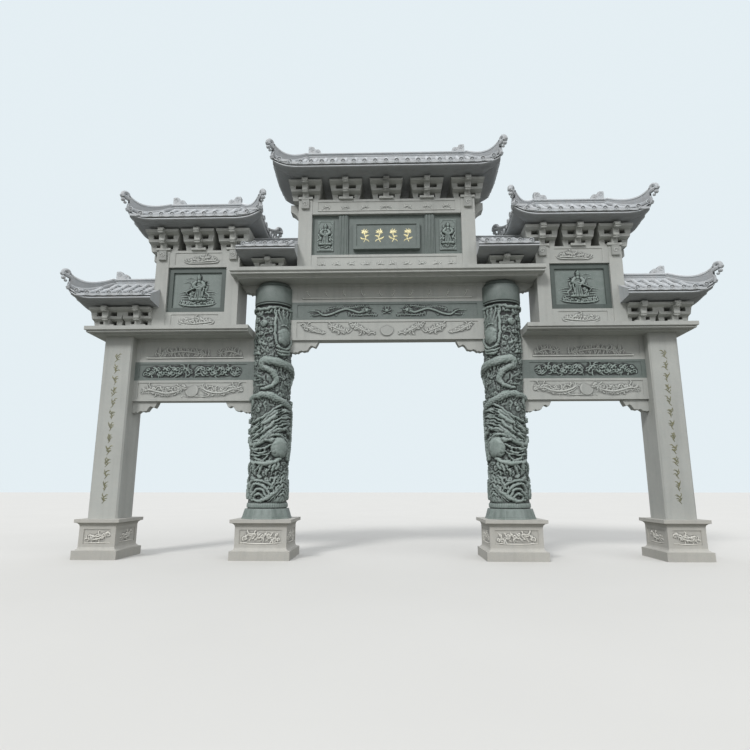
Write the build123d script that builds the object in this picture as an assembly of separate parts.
from build123d import *
import math
import os

# Stone memorial gate: three bays, four columns and seven tiled roofs.
# Millimetres, +Z up, the front faces -Y, the origin is on the ground at the middle of the gate.

# Plan of the four columns
inner_column_x = 2900.0
outer_column_x = 6705.0
outer_column_width = 706.0
outer_column_depth = 808.0
outer_column_chamfer = 35.0

# Round columns
capital_radius = 500.0
round_sides = 24
shaft_radius = 462.0
coil_radius = 430.0
coil_body_radius = 110.0
coil_end_share = 0.7
coil_stretch = 1.1
coil_turn = 149.0
coil_sweep = 267.0
coil_start = 2480.0
coil_rise = 990.0
coil_steps = 11
coil_sides = 6
capital_height = 685.0
capital_neck_height = 120.0
capital_neck_radius = 452.0
beam_end_from_axis = 360.0

# Raised forms on the round columns, turned from the inner side towards the front
form_root = 40.0
form_step_turn = 24.0
form_end_share = 0.95
form_bevel_share = 0.35
head_turn = 52.0
head_rise = 1270.0
head_half_turn = 27.0
head_half_height = 290.0
head_relief = 90.0
jaw_turn = 106.0
jaw_rise = 1150.0
jaw_half_turn = 32.0
jaw_half_height = 290.0
jaw_relief = 62.0
neck_turn = -6.0
neck_rise = 1600.0
neck_half_turn = 14.0
neck_half_height = 650.0
neck_relief = 60.0
mane_turn = 80.0
mane_rise = 1900.0
mane_half_turn = 80.0
mane_half_height = 290.0
mane_fall = 330.0
mane_relief = 45.0
arch_turn = 84.0
arch_rise = 2540.0
arch_half_turn = 62.0
arch_half_height = 150.0
arch_relief = 70.0
leg_turn = 84.0
leg_rise = 3130.0
leg_half_turn = 26.0
leg_half_height = 390.0
leg_relief = 45.0
fin_turn = 42.0
fin_rise = 4160.0
fin_half_turn = 31.0
fin_half_height = 600.0
fin_relief = 50.0
wave_crests = 5
wave_turn = 40.0
wave_rise = 340.0
wave_half_turn = 31.0
wave_half_height = 330.0
wave_relief = 55.0

# Stones under the round columns
base_block_width = 1130.0
base_block_top_width = 1000.0
base_block_height = 234.0
base_block_bevel = 190.0
base_block_sides = 8
base_band_radius = 490.0
base_band_height = 145.0

# Pedestals
plinth_height = 200.0
plinth_shoulder = 76.0
pedestal_body_height = 461.0
pedestal_cove_height = 85.0
pedestal_slab_height = 74.0
inner_body_width = 1194.0
inner_slab_width = 1400.0
inner_plinth_width = 1380.0
outer_body_width = 858.0
outer_body_depth = 1092.0
outer_slab_overhang = 94.0
pedestal_panel_margin = 110.0
pedestal_panel_sink = 18.0
pedestal_panel_edge = 70.0

# Beams between the columns
beam_depth = 310.0
beam_margin = 62.0
beam_sink = 16.0
beam_field_end = 110.0
side_passage_drop = 1541.0
side_beam_lower_height = 525.0
side_beam_middle_height = 469.0
side_beam_upper_height = 605.0
centre_passage_height = 5262.0
centre_beam_lower_height = 531.0
centre_beam_middle_height = 465.0
centre_beam_upper_height = 487.0

# Carved braces under the beams
brace_depth = 190.0
centre_brace_length = 670.0
centre_brace_height = 320.0
side_brace_length = 620.0
side_brace_height = 300.0
side_brace_foot = 200.0
brace_tip_height = 40.0
brace_scallops = 3
scallop_steps = 4
brace_scallop_depth = 30.0
brace_sweep = 3.0
cornice_brace_height = 235.0

# Cornices
side_cornice_height = 181.0
side_cornice_from_axis = 473.0
side_cornice_end = 7417.0
side_cornice_depth = 1534.0
centre_cornice_height = 246.0
centre_cornice_length = 7818.0
centre_cornice_depth = 1552.0
cornice_slab_height = 92.0
cornice_foot_height = 35.0
cornice_foot_inset = 165.0

# Upper frames, two at the sides and one in the centre
post_depth = 872.0
rail_depth = 840.0
rail_margin = 65.0
rail_sink = 14.0
rail_field_end = 150.0
side_post_width = 325.0
side_post_x = 3757.0
side_frame_width = 2148.0
side_rail_lower_height = 442.0
side_rail_upper_height = 456.0
side_panel_depth = 740.0
panel_border = 130.0
panel_sink = 45.0
centre_post_width = 351.0
centre_frame_width = 4552.0
centre_rail_lower_height = 444.0
centre_panel_height = 1129.0
centre_rail_upper_height = 410.0
centre_panel_depth = 640.0
pilaster_x = 1113.0
pilaster_width = 242.0
pilaster_relief = 55.0
niche_width = 430.0
niche_height = 860.0
niche_relief = 25.0
name_board_width = 1700.0
name_board_height = 755.0
name_board_rise = 148.0
name_board_thickness = 120.0
name_board_border = 80.0
name_board_sink = 25.0

# Beam ends that show outside the posts
beam_head_width = 190.0
beam_head_height = 245.0
beam_head_reach = 60.0
beam_head_drop = 25.0
centre_ear_reach = 260.0
centre_ear_height = 540.0
centre_ear_nose = 190.0
side_ear_reach = 190.0
side_ear_height = 290.0
side_ear_nose = 170.0
ear_depth = 300.0
ear_foot = 30.0
ear_hollow_share = 0.3
ear_hollow_rise = 0.65

# Bracket sets under the roofs
bracket_foot_width = 670.0
bracket_top_width = 860.0
bracket_foot_depth = 760.0
bracket_reach = 640.0
bracket_sill = 60.0
bracket_wall = 150.0
bracket_pillar = 150.0
bracket_pillar_step = 95.0
bracket_lip_width = 370.0
bracket_chamfer = 42.0
bracket_tiers = 2
filler_bracket_tiers = 1
centre_bracket_height = 466.0
side_bracket_height = 505.0
lower_bracket_height = 480.0
lower_bracket_plate = 60.0
lower_bracket_reach = 590.0
filler_bracket_height = 199.0
filler_bracket_plate = 140.0
filler_bracket_reach = 510.0
lower_bracket_inner_x = 6240.0
lower_bracket_outer_x = 7030.0

# Roofs
roof_overhang = 602.0
centre_roof_depth = 2076.0
centre_ridge_length = 4240.0
centre_roof_rise = 710.0
side_roof_depth = 1910.0
side_ridge_length = 1840.0
side_roof_rise = 585.0
lower_roof_end = 7798.0
lower_ridge_end = 7110.0
lower_roof_depth = 1900.0
lower_roof_rise = 535.0
lower_roof_lap = 165.0
filler_roof_depth = 1700.0
filler_roof_rise = 420.0
filler_ridge_height = 110.0
filler_roof_gap = 17.0
eave_rise = 60.0
eave_edge = 165.0
corner_lift = 195.0
ridge_height = 190.0
ridge_width = 200.0
ridge_cap_height = 55.0
ridge_neck_inset = 35.0
ridge_clearance = 0.3
rib_pitch = 270.0
rib_width = 144.0
rib_height = 62.0
rib_last_hip = 0.93
slope_sag = 0.3
slope_steps = 3
station_gap = 4.0
moulding_steps = 3

# Ridge ornaments and upturned corner horns
ornament_length = 350.0
ornament_height = 200.0
ornament_thickness = 150.0
ornament_curl_length = 160.0
ornament_step = 85.0
horn_thickness = 120.0
horn_root = 90.0
horn_curl = 110.0
horn_reach = 250.0
horn_height = 415.0
horn_root_height = 295.0
horn_tip_height = 355.0
horn_nose_height = 215.0
horn_heel_height = 60.0
hip_ridge_gain = 150.0
hip_ridge_sink = 80.0
hip_ridge_end = 0.85

# Levels worked out from the heights
bed = plinth_height + plinth_shoulder + pedestal_body_height
pedestal_height = bed + pedestal_cove_height + pedestal_slab_height
shaft_bottom = pedestal_height + base_block_height + base_band_height
side_passage_height = centre_passage_height - side_passage_drop
side_cornice_bottom = (side_passage_height + side_beam_lower_height + side_beam_middle_height
                       + side_beam_upper_height)
side_cornice_top = side_cornice_bottom + side_cornice_height
centre_cornice_bottom = (centre_passage_height + centre_beam_lower_height + centre_beam_middle_height
                         + centre_beam_upper_height)
capital_bottom = centre_cornice_bottom - capital_height
centre_cornice_top = centre_cornice_bottom + centre_cornice_height
centre_frame_top = (centre_cornice_top + centre_rail_lower_height + centre_panel_height
                    + centre_rail_upper_height)
filler_soffit = centre_cornice_top + filler_bracket_plate + filler_bracket_height
filler_ridge_top = filler_soffit + eave_rise + eave_edge + filler_roof_rise + filler_ridge_height
side_frame_top = filler_ridge_top + filler_roof_gap - side_bracket_height
side_panel_height = side_frame_top - side_rail_upper_height - side_rail_lower_height - side_cornice_top
side_frame_x = side_post_x + side_frame_width / 2
side_frame_end = side_post_x + side_frame_width
side_cornice_start = inner_column_x + side_cornice_from_axis

os.makedirs("parts", exist_ok=True)


def block(x0, x1, y0, y1, z0, z1):
    """Box between two opposite corners."""
    centre = Pos((x0 + x1) / 2, (y0 + y1) / 2, (z0 + z1) / 2)
    return centre * Box(x1 - x0, y1 - y0, z1 - z0)


def slab(x0, x1, depth, z0, z1):
    """Box centred front to back."""
    return block(x0, x1, -depth / 2, depth / 2, z0, z1)


def flat_face(*points):
    """Face with straight edges through points that lie in one plane."""
    return Face(Wire.make_polygon(points))


def skin(outlines):
    """Solid with flat triangles between outlines that have equally many points."""
    faces = [flat_face(*outlines[0]), flat_face(*outlines[-1])]
    for near, far in zip(outlines, outlines[1:]):
        for i in range(len(near)):
            j = (i + 1) % len(near)
            faces.append(flat_face(near[i], near[j], far[j]))
            faces.append(flat_face(near[i], far[j], far[i]))
    return Solid(Shell(faces)).clean()


def regular_outline(sides, width):
    """Corners of an even-sided regular polygon, given its width across flats."""
    radius = width / 2 / math.cos(math.pi / sides)
    angles = [math.pi / sides * (2 * side + 1) for side in range(sides)]
    return [(radius * math.cos(angle), radius * math.sin(angle)) for angle in angles]


def turned(x, profile):
    """Many-sided round solid on an upright axis, from pairs of radius and height."""
    outlines = []
    for radius, z in profile:
        outlines.append([(x + a, b, z) for a, b in regular_outline(round_sides, 2 * radius)])
    return skin(outlines)


def rectangle_outline(rect, z):
    """Corners of a rectangle given as x0, x1 and depth."""
    x0, x1, depth = rect
    half = depth / 2
    return [(x0, -half, z), (x1, -half, z), (x1, half, z), (x0, half, z)]


def frustum(low, high, z0, z1):
    """Four-sided block between two rectangles, each given as x0, x1 and depth."""
    return skin([rectangle_outline(low, z0), rectangle_outline(high, z1)])


def curved_step(low, high, z0, z1, hollow):
    """Moulding between two rectangles: a quarter hollow when hollow is true, else a quarter round."""
    outlines = []
    for step in range(moulding_steps + 1):
        angle = math.pi / 2 * step / moulding_steps
        out = 1 - math.cos(angle) if hollow else math.sin(angle)
        up = math.sin(angle) if hollow else 1 - math.cos(angle)
        rect = [a + (b - a) * out for a, b in zip(low, high)]
        outlines.append(rectangle_outline(rect, z0 + (z1 - z0) * up))
    return skin(outlines)


def upright_profile(points, thickness, y=0.0):
    """Plate in the XZ plane from an outline, centred on y."""
    outline = Polyline(*[(x, z) for x, z in points], close=True)
    face = Plane.XZ * make_face(outline)
    return Pos(0, y, 0) * extrude(face, thickness / 2, both=True)


def mirrored(shape):
    """The same piece on the other side of the gate."""
    return mirror(shape, Plane.YZ)


def rotated_half_turn(shape):
    """The same piece on the back of the gate."""
    return Rot(0, 0, 180) * shape


def save(name, *solids):
    """Write one node, with as many solids as are given."""
    shape = solids[0] if len(solids) == 1 else Compound(children=[s for s in solids])
    export_step(shape, f"parts/{name}.step")


# Pedestals
def sunken_panels(body_width, body_depth, x):
    """Shallow fields cut in the four faces of a pedestal body."""
    z0 = plinth_height + plinth_shoulder + pedestal_panel_edge
    z1 = bed - pedestal_panel_edge
    cutters = []
    for sign in (-1, 1):
        face_y = sign * body_depth / 2
        face_x = x + sign * body_width / 2
        half = body_width / 2 - pedestal_panel_margin
        cutters.append(block(x - half, x + half, face_y - pedestal_panel_sink,
                             face_y + pedestal_panel_sink, z0, z1))
        half = body_depth / 2 - pedestal_panel_margin
        cutters.append(block(face_x - pedestal_panel_sink, face_x + pedestal_panel_sink,
                             -half, half, z0, z1))
    return cutters


def pedestal(x, body_width, body_depth, slab_width, slab_depth, plinth_width, plinth_depth):
    """Moulded pedestal: plinth, rounded shoulder, panelled body, cove and top slab."""
    z1 = plinth_height + plinth_shoulder
    z3 = bed + pedestal_cove_height
    plinth_rect = (x - plinth_width / 2, x + plinth_width / 2, plinth_depth)
    body_rect = (x - body_width / 2, x + body_width / 2, body_depth)
    slab_rect = (x - slab_width / 2, x + slab_width / 2, slab_depth)
    shape = slab(*plinth_rect, 0, plinth_height)
    shape += curved_step(plinth_rect, body_rect, plinth_height, z1, False)
    shape += slab(*body_rect, z1, bed)
    shape += curved_step(body_rect, slab_rect, bed, z3, True)
    shape += slab(*slab_rect, z3, pedestal_height)
    for cutter in sunken_panels(body_width, body_depth, x):
        shape -= cutter
    return shape


def inner_pedestal():
    """Square pedestal under a round column."""
    return pedestal(inner_column_x, inner_body_width, inner_body_width, inner_slab_width,
                    inner_slab_width, inner_plinth_width, inner_plinth_width)


def outer_pedestal():
    """Oblong pedestal under a square column."""
    slab_width = outer_body_width + 2 * outer_slab_overhang
    slab_depth = outer_body_depth + 2 * outer_slab_overhang
    return pedestal(outer_column_x, outer_body_width, outer_body_depth, slab_width, slab_depth,
                    slab_width, slab_depth)


# Columns
def outer_column():
    """Square column with chamfered corners."""
    sketch = Pos(outer_column_x, 0, pedestal_height) * Rectangle(outer_column_width, outer_column_depth)
    sketch = chamfer(sketch.vertices(), outer_column_chamfer)
    return extrude(sketch, side_cornice_bottom - pedestal_height)


def column_base():
    """Eight-sided stone and the round band above it."""
    outlines = []
    for width, z in ((base_block_width, 0), (base_block_width, base_block_height - base_block_bevel),
                     (base_block_top_width, base_block_height)):
        outlines.append([(inner_column_x + x, y, pedestal_height + z)
                         for x, y in regular_outline(base_block_sides, width)])
    band_z = pedestal_height + base_block_height
    band = turned(inner_column_x, ((base_band_radius, band_z), (base_band_radius, shaft_bottom)))
    return skin(outlines) + band


def beam_sockets():
    """Seats cut in the column for the beams, braces and cornice that end in it."""
    bay = inner_column_x - beam_end_from_axis
    far = inner_column_x + beam_end_from_axis
    end = outer_column_x
    return [
        slab(0, bay, beam_depth, centre_passage_height, centre_cornice_bottom),
        slab(0, bay, brace_depth, centre_passage_height - centre_brace_height, centre_passage_height),
        slab(far, end, beam_depth, side_passage_height, side_cornice_top),
        slab(far, end, brace_depth, side_passage_height - side_brace_height, side_passage_height),
        slab(side_cornice_start, end, side_cornice_depth, side_cornice_bottom, side_cornice_top),
        slab(far, end, brace_depth, centre_cornice_bottom - cornice_brace_height, centre_cornice_bottom),
    ]


def dragon_coil():
    """The part of the dragon's body that winds round the back of the shaft, thinner towards both ends."""
    outlines = []
    for step in range(coil_steps + 1):
        share = step / coil_steps
        turn = math.radians(180 + coil_turn + coil_sweep * share)
        radius = coil_body_radius * (coil_end_share + (1 - coil_end_share) * math.sin(math.pi * share))
        points = []
        for side in range(coil_sides):
            angle = 2 * math.pi * side / coil_sides
            out = coil_radius + radius * math.cos(angle)
            points.append((out * math.cos(turn), out * math.sin(turn),
                           coil_start + coil_rise * share + radius * coil_stretch * math.sin(angle)))
        outlines.append(points)
    return skin(outlines)


def raised_form(turn, rise, half_turn, half_height, relief, fall=0.0):
    """Oval swelling on the shaft. turn starts at the inner side and passes the front; fall slants it."""
    outlines = []
    steps = math.ceil(2 * half_turn / form_step_turn)
    for step in range(steps + 1):
        share = form_end_share * (2 * step / steps - 1)
        size = math.sqrt(1 - share * share)
        angle = math.radians(180 + turn + half_turn * share)
        root = shaft_radius - form_root
        top = shaft_radius + relief * size
        high = half_height * size
        flat = high * (1 - form_bevel_share)
        middle = rise - fall * share
        profile = ((root, -high), (top, -flat), (top, flat), (root, high))
        outlines.append([(out * math.cos(angle), out * math.sin(angle), middle + z) for out, z in profile])
    return skin(outlines)


def dragon_forms():
    """The dragon's head, jaw, neck, mane, leg and fin, and the wave crests round the foot of the shaft."""
    forms = [
        raised_form(head_turn, head_rise, head_half_turn, head_half_height, head_relief),
        raised_form(jaw_turn, jaw_rise, jaw_half_turn, jaw_half_height, jaw_relief),
        raised_form(neck_turn, neck_rise, neck_half_turn, neck_half_height, neck_relief),
        raised_form(mane_turn, mane_rise, mane_half_turn, mane_half_height, mane_relief, mane_fall),
        raised_form(arch_turn, arch_rise, arch_half_turn, arch_half_height, arch_relief),
        raised_form(leg_turn, leg_rise, leg_half_turn, leg_half_height, leg_relief),
        raised_form(fin_turn, fin_rise, fin_half_turn, fin_half_height, fin_relief),
    ]
    for crest in range(wave_crests):
        turn = wave_turn + 360 * crest / wave_crests
        forms.append(raised_form(turn, wave_rise, wave_half_turn, wave_half_height, wave_relief))
    return forms


def dragon_column():
    """Many-sided shaft with a dragon that comes down round it and waves at its foot."""
    height = capital_bottom - shaft_bottom
    axis = Pos(inner_column_x, 0, shaft_bottom)
    outlines = []
    for z in (0, height):
        outlines.append([(x, y, z) for x, y in regular_outline(round_sides, 2 * shaft_radius)])
    shape = skin(outlines) + dragon_coil()
    for form in dragon_forms():
        shape += form
    shape = axis * shape
    for socket in beam_sockets():
        shape -= socket
    return shape


def column_capital():
    """Plain round block on top of the carved shaft, with a narrower neck."""
    neck_z = centre_cornice_bottom - capital_neck_height
    shape = turned(inner_column_x, (
        (capital_radius, capital_bottom),
        (capital_radius, neck_z),
        (capital_neck_radius, neck_z),
        (capital_neck_radius, centre_cornice_bottom),
    ))
    for socket in beam_sockets():
        shape -= socket
    return shape


# Beams, braces and cornices
def fielded(x0, x1, depth, z0, z1, field_x0, field_x1, margin, sink):
    """Slab with a sunken field on the front and the back."""
    shape = slab(x0, x1, depth, z0, z1)
    for sign in (-1, 1):
        y = sign * depth / 2
        shape -= block(field_x0, field_x1, y - sink, y + sink, z0 + margin, z1 - margin)
    return shape


def centre_beams():
    """Three stacked beams between the round columns."""
    end = inner_column_x - beam_end_from_axis
    field = inner_column_x - capital_radius - beam_field_end
    z1 = centre_passage_height + centre_beam_lower_height
    z2 = z1 + centre_beam_middle_height
    levels = (centre_passage_height, z1, z2, centre_cornice_bottom)
    return [fielded(-end, end, beam_depth, z0, z, -field, field, beam_margin, beam_sink)
            for z0, z in zip(levels, levels[1:])]


def side_beams():
    """Three stacked beams between a round and a square column."""
    start = inner_column_x + beam_end_from_axis
    end = outer_column_x - outer_column_width / 2
    field_start = inner_column_x + capital_radius + beam_field_end
    field_end = end - beam_field_end
    z1 = side_passage_height + side_beam_lower_height
    z2 = z1 + side_beam_middle_height
    levels = (side_passage_height, z1, z2, side_cornice_bottom)
    return [fielded(start, end, beam_depth, z0, z, field_start, field_end, beam_margin, beam_sink)
            for z0, z in zip(levels, levels[1:])]


def scalloped_brace(root_x, foot_x, tip_x, top, height):
    """Brace under a beam with three scallops between its foot and its tip."""
    run = tip_x - foot_x
    low = top - height
    rise = height - brace_tip_height
    points = []
    for step in range(brace_scallops * scallop_steps + 1):
        scallop = min(step // scallop_steps, brace_scallops - 1)
        t0 = scallop / brace_scallops
        t1 = (scallop + 1) / brace_scallops
        share = step / scallop_steps - scallop
        chord = t0 ** brace_sweep + (t1 ** brace_sweep - t0 ** brace_sweep) * share
        bulge = 4 * brace_scallop_depth * share * (1 - share)
        points.append((foot_x + run * (t0 + (t1 - t0) * share), low + rise * chord + bulge))
    return upright_profile([*points, (tip_x, top), (root_x, top), (root_x, low)], brace_depth)


def centre_brace():
    """Brace beside the round column in the centre bay."""
    root = inner_column_x - beam_end_from_axis
    face = inner_column_x - capital_radius
    return scalloped_brace(root, face, face - centre_brace_length, centre_passage_height,
                           centre_brace_height)


def side_braces():
    """Braces beside the round and the square column in a side bay."""
    root = inner_column_x + beam_end_from_axis
    face = inner_column_x + capital_radius
    inner = scalloped_brace(root, face, face + side_brace_length, side_passage_height, side_brace_height)
    face = outer_column_x - outer_column_width / 2
    outer = scalloped_brace(face, face - side_brace_foot, face - side_brace_length, side_passage_height,
                            side_brace_height)
    return [inner, outer]


def cornice_brace():
    """Short scalloped brace between the capital and the post of the side frame."""
    root = inner_column_x + beam_end_from_axis
    return scalloped_brace(root, inner_column_x + capital_radius, side_post_x, centre_cornice_bottom,
                           cornice_brace_height)


def cornice(x0, x1, inset0, inset1, depth, z0, z1):
    """Moulded slab: a foot, a splayed cove and a top slab, set in at the foot."""
    foot = (x0 + inset0, x1 - inset1, depth - 2 * cornice_foot_inset)
    top = (x0, x1, depth)
    foot_top = z0 + cornice_foot_height
    slab_bottom = z1 - cornice_slab_height
    shape = slab(*foot, z0, foot_top)
    shape += frustum(foot, top, foot_top, slab_bottom)
    shape += slab(*top, slab_bottom, z1)
    return shape


def side_cornice():
    """Cornice over a side bay, tenoned into the round column."""
    shape = cornice(side_cornice_start, side_cornice_end, 0, cornice_foot_inset, side_cornice_depth,
                    side_cornice_bottom, side_cornice_top)
    root = inner_column_x + beam_end_from_axis
    shape += slab(root, side_cornice_start, beam_depth, side_cornice_bottom, side_cornice_top)
    return shape


def centre_cornice():
    """Cornice over the centre bay, forked round the posts of the side frames."""
    half = centre_cornice_length / 2
    shape = cornice(-half, half, cornice_foot_inset, cornice_foot_inset, centre_cornice_depth,
                    centre_cornice_bottom, centre_cornice_top)
    post = slab(side_post_x, half + side_post_width, post_depth, centre_cornice_bottom, centre_cornice_top)
    return shape - post - mirrored(post)


# Upper frames
def beam_heads(x, top):
    """Square beam ends that pass through a post, on the front and the back."""
    z1 = top - beam_head_drop
    z0 = z1 - beam_head_height
    half = beam_head_width / 2
    return slab(x - half, x + half, post_depth + 2 * beam_head_reach, z0, z1)


def frame_post(x, width, bottom, top):
    """Post of an upper frame with its beam ends."""
    return slab(x - width / 2, x + width / 2, post_depth, bottom, top) + beam_heads(x, top)


def ear(x, top, reach, height, nose_height):
    """Carved beam end that shows outside a post, with a hollow under its nose."""
    low = top - height
    nose = top - nose_height
    arc_end = (x + ear_foot, low)
    hollow = (x + ear_foot + (reach - ear_foot) * ear_hollow_share, low + (nose - low) * ear_hollow_rise)
    edges = [Polyline(arc_end, (x, low), (x, top), (x + reach, top), (x + reach, nose)),
             ThreePointArc((x + reach, nose), hollow, arc_end)]
    face = Plane.XZ * make_face(Curve() + edges)
    return extrude(face, ear_depth / 2, both=True)


def frame_rail(x0, x1, z0, z1):
    """Rail of an upper frame with a shallow field."""
    return fielded(x0, x1, rail_depth, z0, z1, x0 + rail_field_end, x1 - rail_field_end, rail_margin,
                   rail_sink)


def side_frame():
    """Posts, rails and panel of a side frame."""
    inner = frame_post(side_post_x + side_post_width / 2, side_post_width, side_cornice_top, side_frame_top)
    outer = frame_post(side_frame_end - side_post_width / 2, side_post_width, side_cornice_top,
                       side_frame_top)
    x0 = side_post_x + side_post_width
    x1 = side_frame_end - side_post_width
    z1 = side_cornice_top + side_rail_lower_height
    z2 = z1 + side_panel_height
    rails = [frame_rail(x0, x1, side_cornice_top, z1), frame_rail(x0, x1, z2, side_frame_top)]
    panel = fielded(x0, x1, side_panel_depth, z1, z2, x0 + panel_border, x1 - panel_border, panel_border,
                    panel_sink)
    return [inner, outer], rails, panel


def centre_frame():
    """Posts and rails of the centre frame."""
    x1 = centre_frame_width / 2
    x0 = x1 - centre_post_width
    post = frame_post((x0 + x1) / 2, centre_post_width, centre_cornice_top, centre_frame_top)
    z1 = centre_cornice_top + centre_rail_lower_height
    z2 = z1 + centre_panel_height
    rails = [frame_rail(-x0, x0, centre_cornice_top, z1), frame_rail(-x0, x0, z2, centre_frame_top)]
    return [post, mirrored(post)], rails


def centre_panel():
    """Panel with moulded pilasters and raised niches beside the name board."""
    x0 = centre_frame_width / 2 - centre_post_width
    z0 = centre_cornice_top + centre_rail_lower_height
    z1 = z0 + centre_panel_height
    shape = slab(-x0, x0, centre_panel_depth, z0, z1)
    half = pilaster_width / 2
    niche_x = (pilaster_x + half + x0) / 2
    niche_z = (z0 + z1) / 2
    for sign in (-1, 1):
        x = sign * pilaster_x
        shape += slab(x - half, x + half, centre_panel_depth + 2 * pilaster_relief, z0, z1)
        x = sign * niche_x
        shape += slab(x - niche_width / 2, x + niche_width / 2, centre_panel_depth + 2 * niche_relief,
                      niche_z - niche_height / 2, niche_z + niche_height / 2)
    return shape


def name_board():
    """Board with a raised border on the front of the centre panel."""
    back = -centre_panel_depth / 2
    front = back - name_board_thickness
    z0 = centre_cornice_top + centre_rail_lower_height + name_board_rise
    half = name_board_width / 2
    shape = block(-half, half, front, back, z0, z0 + name_board_height)
    shape -= block(-half + name_board_border, half - name_board_border, front, front + name_board_sink,
                   z0 + name_board_border, z0 + name_board_height - name_board_border)
    return shape


# Bracket sets
def bracket_levels(height, reach, tiers):
    """Levels of a set from its foot up, each with the set's half depth there."""
    foot = bracket_foot_depth / 2
    tier = (height - bracket_sill) / (2 * tiers)
    levels = [(0, foot)]
    for step in range(tiers):
        near = foot + (reach - foot) * step / tiers
        far = foot + (reach - foot) * (step + 1) / tiers
        z = bracket_sill + tier * (2 * step + 1)
        levels += [(z, near), (z + bracket_chamfer, far)]
    levels.append((height, reach))
    return levels


def bracket_half_width(z, height):
    """Half width of a set at a level; its sides splay outwards."""
    return (bracket_foot_width + (bracket_top_width - bracket_foot_width) * z / height) / 2


def bracket_windows(height, tiers):
    """Square holes on both sides of the pillar, through the whole set."""
    tier = (height - bracket_sill) / (2 * tiers)
    inner = bracket_pillar / 2
    cutters = []
    for step in range(tiers):
        z0 = bracket_sill + 2 * tier * step
        outer = bracket_half_width(z0 + tier, height) - bracket_wall
        cutters.append(slab(inner, outer, 2 * bracket_top_width, z0, z0 + tier))
        cutters.append(slab(-outer, -inner, 2 * bracket_top_width, z0, z0 + tier))
    return cutters


def bracket_set(height, reach, tiers=bracket_tiers):
    """One set: a splayed, stepped block with holes, and a pillar that stands out in front."""
    levels = bracket_levels(height, reach, tiers)
    outlines = []
    for z, depth in levels:
        half = bracket_half_width(z, height)
        outlines.append(rectangle_outline((-half, half, 2 * depth), z))
    shape = skin(outlines)
    for cutter in bracket_windows(height, tiers):
        shape -= cutter
    right = [(depth + bracket_pillar_step, z) for z, depth in levels]
    left = [(-y, z) for y, z in reversed(right)]
    shape += Rot(0, 0, 90) * upright_profile(right + left, bracket_pillar)
    lip_half = bracket_lip_width / 2
    return shape + slab(-lip_half, lip_half, bracket_foot_depth + 2 * bracket_pillar_step, 0, bracket_sill)


def centre_brackets():
    """Five sets over the centre frame."""
    spacing = (centre_frame_width - centre_post_width) / 4
    one = bracket_set(centre_bracket_height, bracket_reach)
    return [Pos(spacing * place, 0, centre_frame_top) * one for place in range(-2, 3)]


def side_brackets():
    """Three sets over a side frame."""
    spacing = (side_frame_width - side_post_width) / 2
    one = bracket_set(side_bracket_height, bracket_reach)
    return [Pos(side_frame_x + spacing * place, 0, side_frame_top) * one for place in range(-1, 2)]


def lower_brackets():
    """Two sets on a plate over the square column."""
    end = outer_column_x + outer_column_width / 2
    z = side_cornice_top
    plate = slab(side_frame_end, end, outer_column_depth, z, z + lower_bracket_plate)
    z += lower_bracket_plate
    inner = bracket_set(lower_bracket_height, lower_bracket_reach)
    inner = inner & slab(side_frame_end - lower_bracket_inner_x, bracket_top_width,
                         2 * bracket_top_width, 0, lower_bracket_height)
    outer = bracket_set(lower_bracket_height, lower_bracket_reach)
    return plate + Pos(lower_bracket_inner_x, 0, z) * inner + Pos(lower_bracket_outer_x, 0, z) * outer


def filler_brackets():
    """One set on a plate between the centre frame and a side frame."""
    x0 = centre_frame_width / 2
    z = centre_cornice_top
    plate = slab(x0, side_post_x, outer_column_depth, z, z + filler_bracket_plate)
    one = bracket_set(filler_bracket_height, filler_bracket_reach, filler_bracket_tiers)
    return plate + Pos((x0 + side_post_x) / 2, 0, z + filler_bracket_plate) * one


# Roofs
def slope(t):
    """Fall of a sagging roof slope, 0 at the ridge and 1 at the eave."""
    return t * (1 + slope_sag) - slope_sag * t * t


def fall(t, half):
    """Fall at a share t of the half depth, with a flat seat for the ridge at the top."""
    flat = ridge_width / 2 / half
    return slope(max(0.0, (t - flat) / (1 - flat)))


def roof_outline(x, hip, lift, rib, half, soffit, eave, rise):
    """Cross-section of a roof: hip is 0 on the ridge and 1 at a hipped end, rib a tile rib's height."""
    start = max(ridge_width / 2 / half, hip)
    top = eave + rise
    right = []
    for step in range(slope_steps + 1):
        t = start + (1 - start) * step / slope_steps
        raised = 0.0 if hip and step == 0 else rib
        right.append((t * half, top - rise * fall(t, half) + lift * t * t + raised))
    right.append((half, eave - eave_edge + lift))
    left = [(-y, z) for y, z in reversed(right)]
    points = right + [(0, soffit)] + left + [(0, top - rise * fall(hip, half))]
    return [(x, y, z) for y, z in points]


def hip_share(x, x0, x1, ridge0, ridge1):
    """Share of the way from the nearer ridge end to the hipped end, 0 along the ridge."""
    if x < ridge0:
        return (ridge0 - x) / (ridge0 - x0)
    if x > ridge1:
        return (x - ridge1) / (x1 - ridge1)
    return 0.0


def rib_heights(x0, x1, ridge0, ridge1):
    """Foot and crown places of the tile ribs, with the height at each."""
    middle = (x0 + x1) / 2
    count = int((x1 - x0) / 2 / rib_pitch)
    half = rib_width / 2
    heights = {}
    for place in range(-count, count + 1):
        x = middle + place * rib_pitch
        inside = x0 + half < x < x1 - half
        if inside and hip_share(x, x0, x1, ridge0, ridge1) < rib_last_hip:
            heights[x - half] = 0.0
            heights[x] = rib_height
            heights[x + half] = 0.0
    return heights


def rib_height_at(x, heights):
    """Height of the ribs at any place along the roof."""
    before = max((place for place in heights if place <= x), default=None)
    after = min((place for place in heights if place >= x), default=None)
    if before is None or after is None or before == after:
        return heights.get(x, 0.0)
    share = (x - before) / (after - before)
    return heights[before] + (heights[after] - heights[before]) * share


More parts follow.
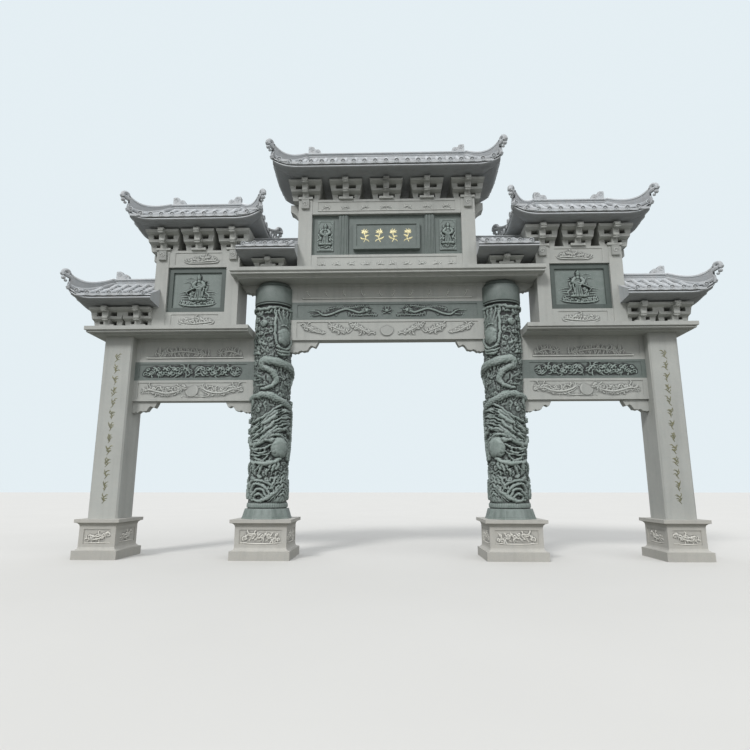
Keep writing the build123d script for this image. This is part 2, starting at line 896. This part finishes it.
def roof_body(x0, x1, ridge0, ridge1, depth, soffit, rise, ribbed=True):
    """Hipped or butted roof: where a ridge end meets x0 or x1 the roof is butted there."""
    half = depth / 2
    eave = soffit + eave_rise + eave_edge
    last_hip = 1 - ridge_width / 4 / half
    heights = rib_heights(x0, x1, ridge0, ridge1) if ribbed else {}
    fixed = [x0, ridge0, ridge1, x1]
    free = [x for x in heights if min(abs(x - place) for place in fixed) > station_gap]
    outlines = []
    for x in sorted(set(fixed + free)):
        hip = hip_share(x, x0, x1, ridge0, ridge1)
        lift = corner_lift * hip ** 3
        rib = rib_height_at(x, heights)
        outlines.append(roof_outline(x, min(hip, last_hip), lift, rib, half, soffit, eave, rise))
    return skin(outlines)


def corner_horn(ridge_x, corner_x, depth, soffit, rise):
    """Hip ridge that sweeps down to the corner and curls up into a horn, at the front."""
    half = depth / 2
    run = math.hypot(corner_x - ridge_x, half)
    eave = soffit + eave_rise + eave_edge
    top = eave + rise
    corner_z = eave + corner_lift
    tip = run + horn_reach
    shares = [hip_ridge_end * step / slope_steps for step in range(slope_steps + 1)]
    hip = [(run * t, top - rise * slope(t) + corner_lift * t ** 5) for t in shares]
    upper = [(s, z + ridge_height + hip_ridge_gain * t * t) for t, (s, z) in zip(shares, hip)]
    lower = [(s, z - hip_ridge_sink) for s, z in hip]
    horn = [(run + horn_root, corner_z + horn_root_height), (run + horn_curl, corner_z + horn_height),
            (tip, corner_z + horn_tip_height), (tip, corner_z + horn_nose_height),
            (run + horn_curl, corner_z + horn_heel_height), (run, corner_z - hip_ridge_sink)]
    outline = Polyline(*(upper + horn + lower[::-1]), close=True)
    angle = math.degrees(math.atan2(-half, corner_x - ridge_x))
    face = Plane.XZ * make_face(outline)
    plate = extrude(face, horn_thickness / 2, both=True)
    return Pos(ridge_x, 0, 0) * Rot(0, 0, angle) * plate


def hipped_roof(x0, x1, ridge0, ridge1, depth, soffit, rise):
    """Roof body with its hip ridges and corner horns."""
    shape = roof_body(x0, x1, ridge0, ridge1, depth, soffit, rise)
    ends = []
    if ridge0 > x0:
        ends.append((ridge0, x0))
    if ridge1 < x1:
        ends.append((ridge1, x1))
    for ridge_x, corner_x in ends:
        horn = corner_horn(ridge_x, corner_x, depth, soffit, rise)
        shape += horn
        shape += mirror(horn, Plane.XZ)
    seat = soffit + eave_rise + eave_edge + rise
    seat_x0 = ridge0 - ridge_width if ridge0 > x0 else ridge0
    seat_x1 = ridge1 + ridge_width if ridge1 < x1 else ridge1
    return shape - slab(seat_x0, seat_x1, ridge_width + 2 * ridge_clearance, seat, seat + ridge_height)


def ridge_bar(x0, x1, bottom, height):
    """Moulded ridge: a narrower neck under a cap."""
    neck = slab(x0, x1, ridge_width - 2 * ridge_neck_inset, bottom, bottom + height - ridge_cap_height)
    return neck + slab(x0, x1, ridge_width, bottom + height - ridge_cap_height, bottom + height)


def ridge_ornament(x, bottom, side):
    """Stepped ornament with a curled top at a ridge end, its back to the outside."""
    inner = x - side * ornament_length
    curl = x - side * ornament_curl_length
    top = bottom + ornament_height
    points = [(x, bottom), (x, top), (curl, top), (curl, top - ornament_step), (inner, top - ornament_step),
              (inner, bottom)]
    return upright_profile(points, ornament_thickness)


def ridge(x0, x1, soffit, rise, ends):
    """Ridge bar with an ornament at each free end."""
    bottom = soffit + eave_rise + eave_edge + rise
    shape = ridge_bar(x0, x1, bottom, ridge_height)
    for x, side in ends:
        shape += ridge_ornament(x, bottom + ridge_height, side)
    return shape


def centre_roof():
    """Roof over the centre frame, with its ridge."""
    soffit = centre_frame_top + centre_bracket_height
    half = centre_frame_width / 2 + roof_overhang
    ridge_half = centre_ridge_length / 2
    body = hipped_roof(-half, half, -ridge_half, ridge_half, centre_roof_depth, soffit, centre_roof_rise)
    bar = ridge(-ridge_half, ridge_half, soffit, centre_roof_rise, ((-ridge_half, -1), (ridge_half, 1)))
    return body, bar


def side_roof():
    """Roof over a side frame, with its ridge."""
    soffit = side_frame_top + side_bracket_height
    half = side_frame_width / 2 + roof_overhang
    x0 = side_frame_x - side_ridge_length / 2
    x1 = side_frame_x + side_ridge_length / 2
    body = hipped_roof(side_frame_x - half, side_frame_x + half, x0, x1, side_roof_depth, soffit,
                       side_roof_rise)
    return body, ridge(x0, x1, soffit, side_roof_rise, ((x0, -1), (x1, 1)))


def lower_roof():
    """Roof over a square column, butted to the side frame."""
    soffit = side_cornice_top + lower_bracket_plate + lower_bracket_height
    start = side_frame_end - lower_roof_lap
    body = hipped_roof(start, lower_roof_end, start, lower_ridge_end, lower_roof_depth, soffit,
                       lower_roof_rise)
    body -= slab(start, side_frame_end, post_depth, side_cornice_top, side_frame_top)
    bar = ridge(side_frame_end, lower_ridge_end, soffit, lower_roof_rise, ((lower_ridge_end, 1),))
    return body, bar


def filler_roof():
    """Small roof between the centre frame and a side frame, with its ridge."""
    x0 = centre_frame_width / 2
    x1 = side_post_x + side_post_width / 2 - bracket_top_width / 2
    body = roof_body(x0, side_post_x, x0, side_post_x, filler_roof_depth, filler_soffit, filler_roof_rise,
                     False)
    body -= slab(x1, side_post_x, filler_roof_depth, side_frame_top, filler_ridge_top)
    bottom = filler_ridge_top - filler_ridge_height
    return body + ridge_bar(x0, x1, bottom, filler_ridge_height)


def save_pair(name, shape):
    """Write a piece and its mirror image as two nodes."""
    save("right_" + name, shape)
    save("left_" + name, mirrored(shape))


def save_both(name, *shapes):
    """Write pieces and their mirror images in one node."""
    save(name, *shapes, *[mirrored(shape) for shape in shapes])


# Lower part of the gate
save_pair("inner_pedestal", inner_pedestal())
save_pair("outer_pedestal", outer_pedestal())
save_both("column_bases", column_base())
save_pair("outer_column", outer_column())
save_pair("dragon_column", dragon_column())
save_both("column_capitals", column_capital())

# Beams and braces
for beam_name, beam in zip(("lower", "middle", "upper"), centre_beams()):
    save(f"centre_beam_{beam_name}", beam)
for beam_name, beam in zip(("lower", "middle", "upper"), side_beams()):
    save_pair(f"beam_{beam_name}", beam)
save_both("centre_braces", centre_brace())
save_both("side_braces", *side_braces())
save_both("cornice_braces", cornice_brace())

# Cornices
save_pair("cornice", side_cornice())
save("centre_cornice", centre_cornice())

# Upper frames
centre_posts, centre_rails = centre_frame()
save("centre_posts", *centre_posts)
save("centre_rails", *centre_rails)
save("centre_panel", centre_panel())
save("name_boards", name_board(), rotated_half_turn(name_board()))
side_posts, side_rails, side_panel = side_frame()
save_both("side_posts", *side_posts)
save_both("side_rails", *side_rails)
save_pair("relief_panel", side_panel)
centre_end = centre_frame_width / 2
centre_ear = ear(centre_end, centre_frame_top, centre_ear_reach, centre_ear_height, centre_ear_nose)
side_ear = ear(side_frame_end, side_frame_top, side_ear_reach, side_ear_height, side_ear_nose)
save_both("beam_ears", centre_ear, side_ear)

# Brackets and roofs
save("centre_brackets", *centre_brackets())
save_both("side_brackets", *side_brackets())
save_both("lower_brackets", lower_brackets())
save_both("filler_brackets", filler_brackets())
roof, bar = centre_roof()
save("centre_roof", roof)
save("centre_ridge", bar)
roof, bar = side_roof()
save_pair("side_roof", roof)
save_both("side_ridges", bar)
roof, bar = lower_roof()
save_pair("lower_roof", roof)
save_both("lower_ridges", bar)
save_both("filler_roofs", filler_roof())
